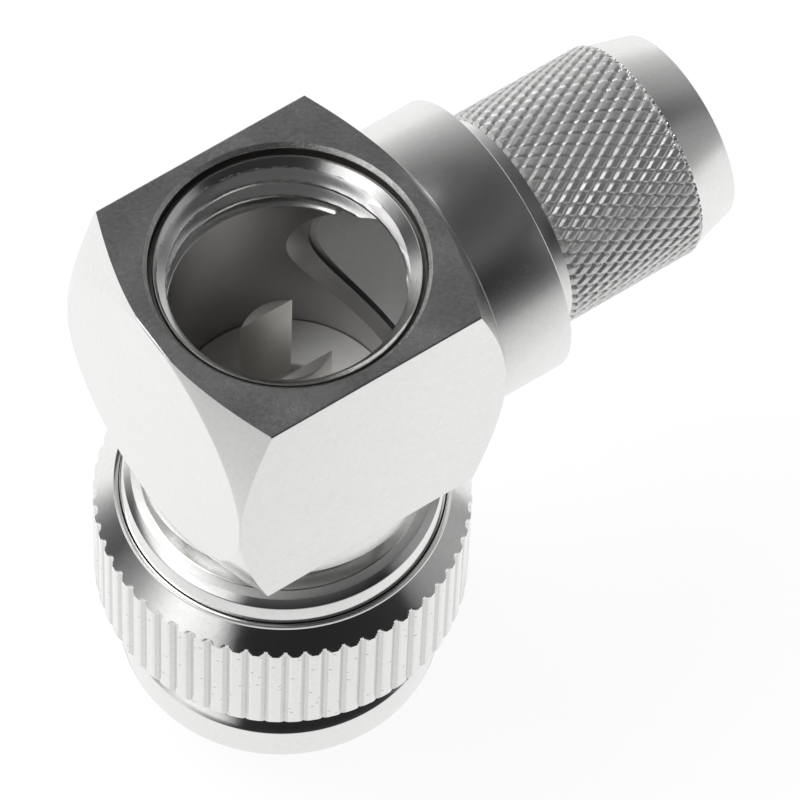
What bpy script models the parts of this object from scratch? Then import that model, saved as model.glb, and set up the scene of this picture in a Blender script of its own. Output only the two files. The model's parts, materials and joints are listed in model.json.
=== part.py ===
"""Right angle TNC plug with a crimp stem for a 10.3 mm coaxial cable.

The coupling nut stands on its mouth at z = 0 with the mating axis vertical, and the cable leaves along +X.
Lengths are in millimetres up to make_object, which turns them into metres.
"""

import math

import bmesh
import bpy

MM = 0.001

# Placement
MATING_AXIS_X = -5.35
CABLE_AXIS_Z = 20.65

# Body: a square bar turned at both ends on the cable axis
BLOCK_WIDTH = 11.85
BLOCK_BACK_X = -6.05
BLOCK_FRONT_X = 6.05
BLOCK_TOP_Z = 26.58
BLOCK_END_RADIUS = 5.9
BLOCK_END_CHAMFER = 1.37
BLOCK_EDGE_BREAK = 0.09
BOSS_RADIUS = 5.85
BOSS_BOTTOM_Z = 13.5

# Access opening in the top face
COUNTERBORE_RADIUS = 5.41
COUNTERBORE_FLOOR_Z = 26.2
COVER_THREAD_RADIUS = 4.98
LEDGE_Z = 23.45
CAVITY_RADIUS = 4.52

# Side bore and the crimp stem that is pressed into it
SIDE_BORE_RADIUS = 3.745
STEM_SEAT_RADIUS = 4.63
STEM_SEAT_REACH = 5.28
STEM_END_REACH = 5.44
STEM_BORE_RADIUS = 3.66
SPIGOT_RADIUS = 4.60
COLLAR_RADIUS = 5.77
COLLAR_START_X = 6.08
COLLAR_END_X = 9.18
STEM_LAND_RADIUS = 4.42
UNDERCUT_CORNER = 0.16
STEM_END_X = 18.1
STEM_TIP_RADIUS = 3.90

# Diamond knurl: two crossing sets of helical grooves, so the surface is a lattice of pyramids
DIAMOND_STARTS = 52
DIAMOND_ROWS = 12
DIAMOND_START_X = 10.25
DIAMOND_END_X = 16.05
DIAMOND_CREST_RADIUS = 4.53
DIAMOND_ROOT_RADIUS = 4.38

# Front shell
SHELL_SPIGOT_RADIUS = 4.85
SHELL_SPIGOT_TOP_Z = 14.6
FLANGE_TOP_Z = 11.79
FLANGE_FACE_RADIUS = 5.57
FLANGE_RIM_RADIUS = 5.91
FLANGE_RIM_Z = 11.7
FLANGE_CHAMFER_RADIUS = 6.2
FLANGE_CHAMFER_Z = 11.45
FLANGE_RADIUS = 6.34
FLANGE_TAPER_Z = 10.75
SHELL_SHOULDER_Z = 8.2
CONTACT_SLEEVE_RADIUS = 4.1
CONTACT_SLEEVE_BORE = 3.3
CONTACT_SLEEVE_END_Z = 1.9
INSULATOR_SEAT_RADIUS = 3.9
INSULATOR_SEAT_Z = 7.85

# Snap ring between shell and nut
RING_SEAT_RADIUS = 5.7
RING_TOP_Z = 9.66
RING_BOTTOM_Z = 8.94
RING_INNER_RADIUS = 5.75
RING_OUTER_RADIUS = 6.6
RING_GAP_DEGREES = 24

# Coupling nut, 7/16-28 thread
NUT_TOP_Z = 10.65
NUT_CONE_TOP_Z = 10.52
NUT_CREST_RADIUS = 7.4
NUT_LAND_RADIUS = 6.6
NUT_REAR_BORE = 6.4
NUT_SHOULDER_Z = 8.1
NUT_GASKET_BORE = 5.87
NUT_THREAD_BORE = 5.32
NUT_THREAD_END_Z = 6.0
KNURL_TOP_Z = 9.72
KNURL_BOTTOM_Z = 4.5
BAND_RADIUS = 6.43
BAND_TOP_Z = 1.77
RELIEF_RADIUS = 5.97
NUT_RIBS = 60
RIB_GROOVE_DEPTH = 0.14
RIB_GROOVE_WIDTH = 0.46

# Dielectric and centre contact
INSULATOR_TOP_Z = 15.3
INSULATOR_HEAD_Z = 14.64
CONTACT_BORE_RADIUS = 1.18
CONTACT_RECESS_RADIUS = 2.5
CONTACT_RECESS_Z = 14.0
PIN_RADIUS = 0.68
PIN_TIP_Z = 2.3
CUP_RADIUS = 1.8
CUP_TOP_Z = 21.2
CUP_SLOT_WIDTH = 2.7
CUP_SLOT_FLOOR_Z = 16.1

# Gasket
GASKET_INNER_RADIUS = 4.14
GASKET_OUTER_RADIUS = 5.25
GASKET_BOTTOM_Z = 6.95

# Facets round each turned piece
SEGMENTS = 50
FINE_SEGMENTS = 80


def clear_scene():
    for obj in list(bpy.data.objects):
        bpy.data.objects.remove(obj, do_unlink=True)


def make_material(name, colour, metallic, roughness):
    material = bpy.data.materials.new(name)
    material.use_nodes = True
    shader = material.node_tree.nodes["Principled BSDF"]
    shader.inputs["Base Color"].default_value = (*colour, 1.0)
    shader.inputs["Metallic"].default_value = metallic
    shader.inputs["Roughness"].default_value = roughness
    return material


def make_object(name, bm, material, location=(0.0, 0.0, 0.0)):
    """A closed mesh in millimetres becomes an object in metres, placed at a location in millimetres."""
    bmesh.ops.recalc_face_normals(bm, faces=bm.faces)
    bmesh.ops.scale(bm, vec=(MM, MM, MM), verts=bm.verts)
    mesh = bpy.data.meshes.new(name)
    bm.to_mesh(mesh)
    bm.free()
    obj = bpy.data.objects.new(name, mesh)
    obj.location = [value * MM for value in location]
    bpy.context.scene.collection.objects.link(obj)
    if material is not None:
        mesh.materials.append(material)
        for polygon in mesh.polygons:
            polygon.use_smooth = True
        mesh.set_sharp_from_angle(angle=math.radians(25))
    return obj


def make_cutter(name, bm, location=(0.0, 0.0, 0.0)):
    cutter = make_object(name, bm, None, location)
    cutter.hide_render = True
    cutter.display_type = "WIRE"
    return cutter


def combine(obj, other, operation="DIFFERENCE"):
    modifier = obj.modifiers.new(f"{operation.lower()} {other.name}", "BOOLEAN")
    modifier.operation = operation
    modifier.solver = "EXACT"
    modifier.object = other


def ring_points(radius, height, count, axis, phase=0.0):
    """Points of one circle about Z or X, at a height along that axis."""
    points = []
    for i in range(count):
        angle = 2 * math.pi * (i + phase) / count
        a = radius * math.cos(angle)
        b = radius * math.sin(angle)
        points.append((a, b, height) if axis == "Z" else (height, a, b))
    return points


def join_rings(bm, first, second):
    """Faces between two rings of points. One ring may hold one point, or half as many as the other."""
    if len(first) == 1 and len(second) == 1:
        return
    if len(first) < len(second):
        first, second = second, first
    count = len(first)
    if len(second) == count:
        for i in range(count):
            j = (i + 1) % count
            bm.faces.new((first[i], first[j], second[j], second[i]))
    elif len(second) == 1:
        for i in range(count):
            bm.faces.new((first[i], first[(i + 1) % count], second[0]))
    else:
        for i in range(len(second)):
            j = (i + 1) % len(second)
            middle = first[2 * i + 1]
            bm.faces.new((first[2 * i], middle, second[i]))
            bm.faces.new((middle, second[j], second[i]))
            bm.faces.new((middle, first[(2 * i + 2) % count], second[j]))


def turn(profile, axis="Z", count=SEGMENTS):
    """A turned solid. The profile is a list of (radius, height), closed by itself or by points on the axis."""
    bm = bmesh.new()
    rings = []
    for radius, height in profile:
        if radius == 0:
            point = (0, 0, height) if axis == "Z" else (height, 0, 0)
            rings.append([bm.verts.new(point)])
        else:
            rings.append([bm.verts.new(p) for p in ring_points(radius, height, count, axis)])
    for first, second in zip(rings, rings[1:] + rings[:1]):
        join_rings(bm, first, second)
    return bm


def cylinder(radius, low, high, axis="Z", count=SEGMENTS):
    return turn([(0, low), (radius, low), (radius, high), (0, high)], axis, count)


def box(low, high):
    bm = bmesh.new()
    bmesh.ops.create_cube(bm, size=1.0)
    for vert in bm.verts:
        vert.co = [low[k] + (vert.co[k] + 0.5) * (high[k] - low[k]) for k in range(3)]
    return bm


def make_body_block(material):
    """The square bar, its turned ends, and everything bored into it."""
    half = BLOCK_WIDTH / 2
    low = (BLOCK_BACK_X, -half, BLOCK_TOP_Z - BLOCK_WIDTH)
    high = (BLOCK_FRONT_X, half, BLOCK_TOP_Z)
    bar = box(low, high)
    bmesh.ops.bevel(bar, geom=bar.edges[:], offset=BLOCK_EDGE_BREAK, segments=1, affect="EDGES")
    block = make_object("body_block", bar, material, (MATING_AXIS_X, 0, 0))

    slope = BLOCK_END_CHAMFER / (half * math.sqrt(2) - BLOCK_END_RADIUS)
    outer = 9.0
    depth = slope * (outer - BLOCK_END_RADIUS)
    turned_ends = turn(
        [
            (0, BLOCK_BACK_X),
            (BLOCK_END_RADIUS, BLOCK_BACK_X),
            (outer, BLOCK_BACK_X + depth),
            (outer, BLOCK_FRONT_X - depth),
            (BLOCK_END_RADIUS, BLOCK_FRONT_X),
            (0, BLOCK_FRONT_X),
        ],
        "X",
        FINE_SEGMENTS,
    )
    cable_axis = (MATING_AXIS_X, 0, CABLE_AXIS_Z)
    mating_axis = (MATING_AXIS_X, 0, 0)
    combine(block, make_cutter("turned_ends", turned_ends, cable_axis), "INTERSECT")

    boss = cylinder(BOSS_RADIUS, BOSS_BOTTOM_Z, BLOCK_TOP_Z - BLOCK_WIDTH + 0.6)
    combine(block, make_cutter("boss", boss, mating_axis), "UNION")

    opening = turn(
        [
            (0, BOSS_BOTTOM_Z - 1),
            (SHELL_SPIGOT_RADIUS + 0.03, BOSS_BOTTOM_Z - 1),
            (SHELL_SPIGOT_RADIUS + 0.03, SHELL_SPIGOT_TOP_Z + 0.03),
            (CAVITY_RADIUS, SHELL_SPIGOT_TOP_Z + 0.03),
            (CAVITY_RADIUS, LEDGE_Z),
            (COVER_THREAD_RADIUS, LEDGE_Z + 0.15),
            (COVER_THREAD_RADIUS, COUNTERBORE_FLOOR_Z - 0.17),
            (COVER_THREAD_RADIUS + 0.17, COUNTERBORE_FLOOR_Z),
            (COUNTERBORE_RADIUS, COUNTERBORE_FLOOR_Z),
            (COUNTERBORE_RADIUS, BLOCK_TOP_Z + 1),
            (0, BLOCK_TOP_Z + 1),
        ]
    )
    combine(block, make_cutter("opening", opening, mating_axis))

    side_bore = cylinder(SIDE_BORE_RADIUS, 0, BLOCK_FRONT_X + 1, "X")
    combine(block, make_cutter("side_bore", side_bore, cable_axis))

    stem_seat = cylinder(STEM_SEAT_RADIUS, 0, BLOCK_FRONT_X + 1, "X")
    seat = make_cutter("stem_seat", stem_seat, cable_axis)
    seat_end = cylinder(STEM_SEAT_REACH, 10, 30)
    combine(seat, make_cutter("seat_end", seat_end, mating_axis))
    combine(block, seat)


def make_crimp_stem(material):
    """Collar, undercut, diamond knurl and tapered tip, turned in one piece."""
    fine = 2 * DIAMOND_STARTS
    coarse = DIAMOND_STARTS
    # (radius, x, points round the ring)
    inner_end_x = 2.0
    profile = [
        (STEM_BORE_RADIUS, inner_end_x, coarse),
        (SPIGOT_RADIUS, inner_end_x, coarse),
        (SPIGOT_RADIUS, COLLAR_START_X, coarse),
        (COLLAR_RADIUS - 0.12, COLLAR_START_X, coarse),
        (COLLAR_RADIUS, COLLAR_START_X + 0.12, coarse),
        (COLLAR_RADIUS, COLLAR_END_X - 0.05, coarse),
        (COLLAR_RADIUS - 0.05, COLLAR_END_X, coarse),
        (STEM_LAND_RADIUS + UNDERCUT_CORNER, COLLAR_END_X, coarse),
        (STEM_LAND_RADIUS, COLLAR_END_X + UNDERCUT_CORNER, coarse),
        (STEM_LAND_RADIUS, DIAMOND_START_X - 0.12, coarse),
    ]
    knurl_length = DIAMOND_END_X - DIAMOND_START_X
    for row in range(DIAMOND_ROWS + 1):
        profile.append((None, DIAMOND_START_X + row * knurl_length / DIAMOND_ROWS, fine))
    profile += [
        (STEM_LAND_RADIUS, DIAMOND_END_X + 0.12, coarse),
        (STEM_TIP_RADIUS, STEM_END_X, coarse),
        (STEM_BORE_RADIUS, STEM_END_X, coarse),
    ]

    bm = bmesh.new()
    rings = []
    knurl_row = 0
    for radius, x, count in profile:
        if radius is not None:
            points = ring_points(radius, x, count, "X")
        else:
            crest = ring_points(DIAMOND_CREST_RADIUS, x, count, "X")
            root = ring_points(DIAMOND_ROOT_RADIUS, x, count, "X")
            points = [(crest if (i + knurl_row) % 2 else root)[i] for i in range(count)]
            knurl_row += 1
        rings.append([bm.verts.new(point) for point in points])
    for first, second in zip(rings, rings[1:] + rings[:1]):
        if len(first) == len(second) == fine:
            join_knurl_rows(bm, first, second)
        else:
            join_rings(bm, first, second)
    stem = make_object("crimp_stem", bm, material, (MATING_AXIS_X, 0, CABLE_AXIS_Z))

    inner_end = cylinder(STEM_END_REACH, 10, 30)
    combine(stem, make_cutter("stem_inner_end", inner_end, (MATING_AXIS_X, 0, 0)))


def join_knurl_rows(bm, first, second):
    """Two triangles to each cell, split along the diagonal that runs from root to root."""
    count = len(first)
    middle = sum(v.co.y**2 + v.co.z**2 for v in first) / count
    for i in range(count):
        j = (i + 1) % count
        first_is_root = first[i].co.y ** 2 + first[i].co.z ** 2 < middle
        if first_is_root:
            bm.faces.new((first[i], first[j], second[j]))
            bm.faces.new((first[i], second[j], second[i]))
        else:
            bm.faces.new((first[i], first[j], second[i]))
            bm.faces.new((first[j], second[j], second[i]))


def make_front_shell(material):
    """Spigot, neck, flange with the ring groove, and the outer contact sleeve."""
    profile = [
        (SHELL_SPIGOT_RADIUS, SHELL_SPIGOT_TOP_Z),
        (SHELL_SPIGOT_RADIUS, FLANGE_TOP_Z + 0.2),
        (SHELL_SPIGOT_RADIUS + 0.2, FLANGE_TOP_Z),
        (FLANGE_FACE_RADIUS, FLANGE_TOP_Z),
        (FLANGE_RIM_RADIUS, FLANGE_RIM_Z),
        (FLANGE_CHAMFER_RADIUS, FLANGE_CHAMFER_Z),
        (FLANGE_RADIUS, FLANGE_TAPER_Z),
        (FLANGE_RADIUS, RING_TOP_Z + 0.04),
        (RING_SEAT_RADIUS, RING_TOP_Z + 0.04),
        (RING_SEAT_RADIUS, RING_BOTTOM_Z - 0.04),
        (FLANGE_RADIUS, RING_BOTTOM_Z - 0.04),
        (FLANGE_RADIUS, SHELL_SHOULDER_Z + 0.15),
        (FLANGE_RADIUS - 0.15, SHELL_SHOULDER_Z),
        (CONTACT_SLEEVE_RADIUS, SHELL_SHOULDER_Z),
        (CONTACT_SLEEVE_RADIUS, CONTACT_SLEEVE_END_Z + 0.6),
        (CONTACT_SLEEVE_RADIUS - 0.35, CONTACT_SLEEVE_END_Z),
        (CONTACT_SLEEVE_BORE + 0.12, CONTACT_SLEEVE_END_Z),
        (CONTACT_SLEEVE_BORE, CONTACT_SLEEVE_END_Z + 0.2),
        (CONTACT_SLEEVE_BORE, INSULATOR_SEAT_Z),
        (INSULATOR_SEAT_RADIUS, INSULATOR_SEAT_Z),
        (INSULATOR_SEAT_RADIUS, SHELL_SPIGOT_TOP_Z),
    ]
    make_object("front_shell", turn(profile), material, (MATING_AXIS_X, 0, 0))


def make_insulator(material):
    gap = 0.03
    front_z = INSULATOR_SEAT_Z - 0.75
    profile = [
        (CONTACT_BORE_RADIUS, front_z),
        (CONTACT_SLEEVE_BORE - gap, front_z),
        (CONTACT_SLEEVE_BORE - gap, INSULATOR_SEAT_Z + gap),
        (INSULATOR_SEAT_RADIUS - gap, INSULATOR_SEAT_Z + gap),
        (INSULATOR_SEAT_RADIUS - gap, INSULATOR_HEAD_Z),
        (CAVITY_RADIUS - gap, INSULATOR_HEAD_Z),
        (CAVITY_RADIUS - gap, INSULATOR_TOP_Z),
        (CONTACT_RECESS_RADIUS, INSULATOR_TOP_Z),
        (CONTACT_RECESS_RADIUS, CONTACT_RECESS_Z),
        (CONTACT_BORE_RADIUS, CONTACT_RECESS_Z),
    ]
    make_object("insulator", turn(profile), material, (MATING_AXIS_X, 0, 0))


def make_centre_contact(material):
    """Pin in front, shank through the insulator, slotted solder cup behind."""
    shank_radius = CONTACT_BORE_RADIUS - 0.03
    shank_front_z = INSULATOR_SEAT_Z - 0.75
    profile = [
        (0, PIN_TIP_Z),
        (0.3, PIN_TIP_Z + 0.06),
        (0.55, PIN_TIP_Z + 0.4),
        (PIN_RADIUS, PIN_TIP_Z + 1.0),
        (PIN_RADIUS, shank_front_z),
        (shank_radius, shank_front_z + 0.25),
        (shank_radius, CONTACT_RECESS_Z + 0.03),
        (CUP_RADIUS, CONTACT_RECESS_Z + 0.03),
        (CUP_RADIUS, CUP_TOP_Z - 0.06),
        (CUP_RADIUS - 0.06, CUP_TOP_Z),
        (0, CUP_TOP_Z),
    ]
    contact = make_object("centre_contact", turn(profile, count=32), material, (MATING_AXIS_X, 0, 0))
    half = CUP_SLOT_WIDTH / 2
    slot = box((-4, -half, CUP_SLOT_FLOOR_Z), (4, half, CUP_TOP_Z + 1))
    combine(contact, make_cutter("cup_slot", slot, (MATING_AXIS_X, 0, 0)))


def make_snap_ring(material):
    """A flat ring of rectangular section with a gap in it."""
    bm = bmesh.new()
    steps = 40
    section = [
        (RING_INNER_RADIUS, RING_BOTTOM_Z),
        (RING_OUTER_RADIUS, RING_BOTTOM_Z),
        (RING_OUTER_RADIUS, RING_TOP_Z),
        (RING_INNER_RADIUS, RING_TOP_Z),
    ]
    loops = []
    for i in range(steps + 1):
        angle = math.radians(RING_GAP_DEGREES / 2 + (360 - RING_GAP_DEGREES) * i / steps)
        loops.append([bm.verts.new((r * math.cos(angle), r * math.sin(angle), z)) for r, z in section])
    for first, second in zip(loops, loops[1:]):
        for i in range(4):
            j = (i + 1) % 4
            bm.faces.new((first[i], first[j], second[j], second[i]))
    bm.faces.new(loops[0])
    bm.faces.new(loops[-1])
    make_object("snap_ring", bm, material, (MATING_AXIS_X, 0, 0))


def make_gasket(material):
    edge = 0.2
    top_z = SHELL_SHOULDER_Z - 0.03
    profile = [
        (GASKET_INNER_RADIUS, GASKET_BOTTOM_Z + edge),
        (GASKET_INNER_RADIUS + edge, GASKET_BOTTOM_Z),
        (GASKET_OUTER_RADIUS - edge, GASKET_BOTTOM_Z),
        (GASKET_OUTER_RADIUS, GASKET_BOTTOM_Z + edge),
        (GASKET_OUTER_RADIUS, top_z),
        (GASKET_INNER_RADIUS, top_z),
    ]
    make_object("gasket", turn(profile), material, (MATING_AXIS_X, 0, 0))


def make_rib_grooves():
    """One V-shaped groove between each two ribs, which runs out in the edge at its lower end."""
    bm = bmesh.new()
    pitch = 2 * math.pi / NUT_RIBS
    for i in range(NUT_RIBS):
        angle = (i + 0.5) * pitch
        out = (math.cos(angle), math.sin(angle))
        across = (-out[1], out[0])
        floor = 0.03
        outer = NUT_CREST_RADIUS + 0.08
        root = NUT_CREST_RADIUS - RIB_GROOVE_DEPTH
        spread = floor + (RIB_GROOVE_WIDTH / 2 - floor) * (outer - root) / RIB_GROOVE_DEPTH
        # (distance out, half width, z)
        corners = [
            (outer, spread, KNURL_TOP_Z + 0.9),
            (root, floor, KNURL_TOP_Z + 0.9),
            (root, floor, KNURL_BOTTOM_Z + 0.15),
            (outer, spread, KNURL_BOTTOM_Z - 0.3),
        ]
        sides = []
        for sign in (-1, 1):
            sides.append(
                [
                    bm.verts.new(
                        (
                            r * out[0] + sign * w * across[0],
                            r * out[1] + sign * w * across[1],
                            z,
                        )
                    )
                    for r, w, z in corners
                ]
            )
        left, right = sides
        bm.faces.new(left)
        bm.faces.new(right)
        for k in range(4):
            j = (k + 1) % 4
            bm.faces.new((left[k], left[j], right[j], right[k]))
    return bm


def make_coupling_nut(material):
    """Free-turning nut: rear bore, ring groove, relief and thread bore inside, straight knurl outside."""
    profile = [
        (NUT_THREAD_BORE + 0.3, 0),
        (BAND_RADIUS - 0.2, 0),
        (BAND_RADIUS - 0.04, 0.16),
        (BAND_RADIUS, BAND_TOP_Z),
        (RELIEF_RADIUS, BAND_TOP_Z + 0.46),
        (RELIEF_RADIUS, KNURL_BOTTOM_Z - 1.25),
        (NUT_CREST_RADIUS - 0.12, KNURL_BOTTOM_Z - 0.1),
        (NUT_CREST_RADIUS, KNURL_BOTTOM_Z + 0.04),
        (NUT_CREST_RADIUS, KNURL_TOP_Z),
        (NUT_LAND_RADIUS, NUT_CONE_TOP_Z),
        (NUT_LAND_RADIUS, NUT_TOP_Z),
        (NUT_REAR_BORE + 0.05, NUT_TOP_Z),
        (NUT_REAR_BORE, NUT_TOP_Z - 0.05),
        (NUT_REAR_BORE, RING_TOP_Z + 0.1),
        (RING_OUTER_RADIUS + 0.12, RING_TOP_Z + 0.1),
        (RING_OUTER_RADIUS + 0.12, RING_BOTTOM_Z - 0.1),
        (NUT_REAR_BORE, RING_BOTTOM_Z - 0.1),
        (NUT_REAR_BORE, NUT_SHOULDER_Z),
        (NUT_GASKET_BORE, NUT_SHOULDER_Z),
        (NUT_GASKET_BORE, NUT_THREAD_END_Z),
        (NUT_THREAD_BORE, NUT_THREAD_END_Z - 0.4),
        (NUT_THREAD_BORE, 0.35),
    ]
    nut = make_object("coupling_nut", turn(profile, count=NUT_RIBS), material, (MATING_AXIS_X, 0, 0))
    combine(nut, make_cutter("rib_grooves", make_rib_grooves(), (MATING_AXIS_X, 0, 0)))


def main():
    clear_scene()
    plate = (0.66, 0.65, 0.62)
    make_body_block(make_material("block_nickel", plate, 1.0, 0.22))
    make_crimp_stem(make_material("stem_nickel", plate, 1.0, 0.32))
    make_front_shell(make_material("shell_nickel", plate, 1.0, 0.2))
    make_coupling_nut(make_material("nut_nickel", plate, 1.0, 0.18))
    make_insulator(make_material("insulator_white", (0.86, 0.86, 0.84), 0.0, 0.45))
    make_centre_contact(make_material("contact_silver", (0.70, 0.67, 0.61), 1.0, 0.28))
    make_snap_ring(make_material("ring_bronze", (0.62, 0.42, 0.24), 1.0, 0.35))
    make_gasket(make_material("gasket_silicone", (0.45, 0.08, 0.05), 0.0, 0.6))


if __name__ == "__main__":
    main()
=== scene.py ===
"""Right angle TNC plug: finished pieces, plated surfaces and a small studio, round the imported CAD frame.

Each piece is modelled in millimetres with the mating axis at x = 0, and put in place in metres at the end.
"""

import json
import math
from types import SimpleNamespace

import bmesh
import bpy
from mathutils import Matrix, Vector


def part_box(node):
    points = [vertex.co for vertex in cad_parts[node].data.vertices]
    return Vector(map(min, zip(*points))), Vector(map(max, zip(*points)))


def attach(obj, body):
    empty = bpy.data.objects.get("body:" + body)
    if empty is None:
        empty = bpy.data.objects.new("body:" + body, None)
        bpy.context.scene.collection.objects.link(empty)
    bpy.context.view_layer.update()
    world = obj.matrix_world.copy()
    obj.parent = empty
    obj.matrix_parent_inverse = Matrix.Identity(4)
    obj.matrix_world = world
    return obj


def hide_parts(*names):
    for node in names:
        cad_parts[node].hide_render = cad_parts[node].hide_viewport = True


bl_info = {
    "name": "Right Angle TNC Plug",
    "version": (1, 0, 0),
    "blender": (4, 5, 0),
    "location": "3D View > Sidebar > Connector",
    "description": "Builds a right angle coaxial plug, its plated finishes and a small studio",
    "category": "Add Mesh",
}

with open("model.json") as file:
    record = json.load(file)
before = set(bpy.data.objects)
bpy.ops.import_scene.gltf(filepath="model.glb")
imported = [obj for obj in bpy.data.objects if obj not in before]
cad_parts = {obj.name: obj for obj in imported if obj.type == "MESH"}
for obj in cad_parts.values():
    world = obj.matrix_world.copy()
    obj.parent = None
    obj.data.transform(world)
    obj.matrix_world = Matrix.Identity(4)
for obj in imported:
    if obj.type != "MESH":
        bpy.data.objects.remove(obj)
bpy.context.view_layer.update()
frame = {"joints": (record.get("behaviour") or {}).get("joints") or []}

MM = 0.001
MATING_X = frame["joints"][0]["pos_m"][0] / MM
BLOCK_BOX = [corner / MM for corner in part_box("body_block")]
STEM_BOX = [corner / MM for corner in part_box("crimp_stem")]
NUT_BOX = [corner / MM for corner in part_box("coupling_nut")]
BLOCK_TOP = BLOCK_BOX[1].z
CABLE_Z = (STEM_BOX[0].z + STEM_BOX[1].z) / 2

# Turns (x, y, z) into (z, x, y), so a piece spun about Z then lies along X
ALONG_X = Matrix(((0, 0, 1, 0), (1, 0, 0, 0), (0, 1, 0, 0), (0, 0, 0, 1)))
# Edges bent by more than this stay sharp
SHARP_ANGLE = math.radians(18)
# How far a cutting tool reaches past what it cuts, in mm
BEYOND = 1.0
# How far the cutter of the opening's chamfer runs on above the top face, in mm
RIM_FLARE = 0.05
# How far a face's centre may lie from the surface it is matched to, in mm
NEAR = 0.01


def linear(hex_colour):
    """An sRGB hex colour as linear red, green and blue."""
    channels = [int(hex_colour[i : i + 2], 16) / 255 for i in (1, 3, 5)]
    return tuple(c / 12.92 if c <= 0.04045 else ((c + 0.055) / 1.055) ** 2.4 for c in channels)


# Settings


def length(name, description, millimetres):
    """A size in metres, with its default given in millimetres."""
    return bpy.props.FloatProperty(
        name=name,
        description=description,
        default=millimetres * MM,
        min=0.0,
        precision=5,
        unit="LENGTH",
        subtype="DISTANCE",
    )


def rotation(name, description, degrees):
    """An angle in radians, with its default given in degrees."""
    return bpy.props.FloatProperty(
        name=name, description=description, default=math.radians(degrees), unit="ROTATION", subtype="ANGLE"
    )


def power(name, description, watts):
    """A lamp's power."""
    return bpy.props.FloatProperty(
        name=name, description=description, default=watts, min=0.0, unit="POWER"
    )


def colour(name, description, hex_colour):
    """A linear colour, with its default given as sRGB hex."""
    return bpy.props.FloatVectorProperty(
        name=name,
        description=description,
        default=linear(hex_colour),
        min=0.0,
        max=1.0,
        size=3,
        subtype="COLOR",
    )


def count(name, description, default):
    """How many times something goes round its piece."""
    return bpy.props.IntProperty(name=name, description=description, default=default, min=3)


class BlockSettings(bpy.types.PropertyGroup):
    width: length("Width", "Width of the square bar across its flats", BLOCK_BOX[1].y - BLOCK_BOX[0].y)
    back: length("Back", "From the mating axis to the block's closed end", MATING_X - BLOCK_BOX[0].x)
    front: length("Front", "From the mating axis to the end that holds the stem", BLOCK_BOX[1].x - MATING_X)
    end_radius: length("End radius", "Radius of the flat disc left at each turned end", 5.9)
    end_chamfer: length("End chamfer", "How far the turned chamfer reaches along the bar's corners", 1.37)
    edge_break: length("Edge break", "Width of the small chamfer along the bar's corners", 0.09)
    boss_radius: length("Boss radius", "Radius of the round boss under the block", 5.85)
    boss_bottom: length("Boss bottom", "Height of the boss's lower end", BLOCK_BOX[0].z)
    rim_radius: length("Rim radius", "Outer radius of the chamfer round the opening", 5.41)
    rim_chamfer: length("Rim chamfer", "Width of the chamfer round the opening", 0.16)
    thread_start: length("Thread start", "Depth at which the opening's thread starts", 0.37)
    groove_floor: length("Groove floor", "Depth of the turned groove round the thread", 0.62)
    thread_root: length("Thread root radius", "Outer radius of the opening's M10 thread", 5.0)
    thread_crest: length("Thread crest radius", "Inner radius of the opening's thread", 4.55)
    thread_pitch: length("Thread pitch", "Pitch of the opening's thread", 1.0)
    first_crest: length("First crest", "Depth of the thread's first crest on the +Y side", 1.37)
    ledge_depth: length("Ledge depth", "Depth of the ledge under the thread", 3.13)
    cavity_radius: length("Cavity radius", "Radius of the opening below the ledge", 4.52)
    neck_radius: length("Neck bore radius", "Radius of the bore that takes the shell's neck", 4.88)
    neck_top: length("Neck bore top", "Height of the bore that takes the shell's neck", 14.63)
    side_bore_radius: length("Side bore radius", "Radius of the bore along the cable axis", 3.745)
    seat_radius: length("Seat radius", "Radius of the seat that takes the stem", 4.63)
    seat_reach: length("Seat reach", "Radius about the mating axis where the stem's seat ends", 5.14)


class StemSettings(bpy.types.PropertyGroup):
    bore_radius: length("Bore radius", "Radius of the bore that takes the cable's dielectric", 3.66)
    collar_radius: length("Collar radius", "Outer radius of the collar", 5.77)
    spigot_radius: length("Spigot radius", "Radius of the end that is pressed into the block", 4.48)
    spigot_reach: length("Spigot reach", "Radius about the mating axis that the pressed end is cut to", 5.32)
    collar_start: length("Collar start", "From the mating axis to the collar", 6.08)
    collar_end: length("Collar end", "From the mating axis to the collar's far face", 9.18)
    land_radius: length("Land radius", "Radius of the plain parts on each side of the knurl", 4.42)
    knurl_start: length("Knurl start", "From the mating axis to the knurl", 10.25)
    knurl_end: length("Knurl end", "From the mating axis to the knurl's far end", 16.05)
    knurl_ramp: length("Knurl ramp", "Length over which the knurl's crests rise", 0.12)
    knurl_radius: length("Knurl radius", "Radius over the knurl's crests", 4.53)
    deep_groove: length("Deep groove", "Depth of the knurl's deeper set of grooves", 0.09)
    fine_groove: length("Fine groove", "Depth of the knurl's finer set of grooves", 0.07)
    knurl_pitch: length("Knurl pitch", "Length of one diamond along the axis", 0.9375)
    tip_radius: length("Tip radius", "Radius at the end of the tapered tip", 3.90)
    starts: count("Diamonds", "Diamonds round the stem", 52)


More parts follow.
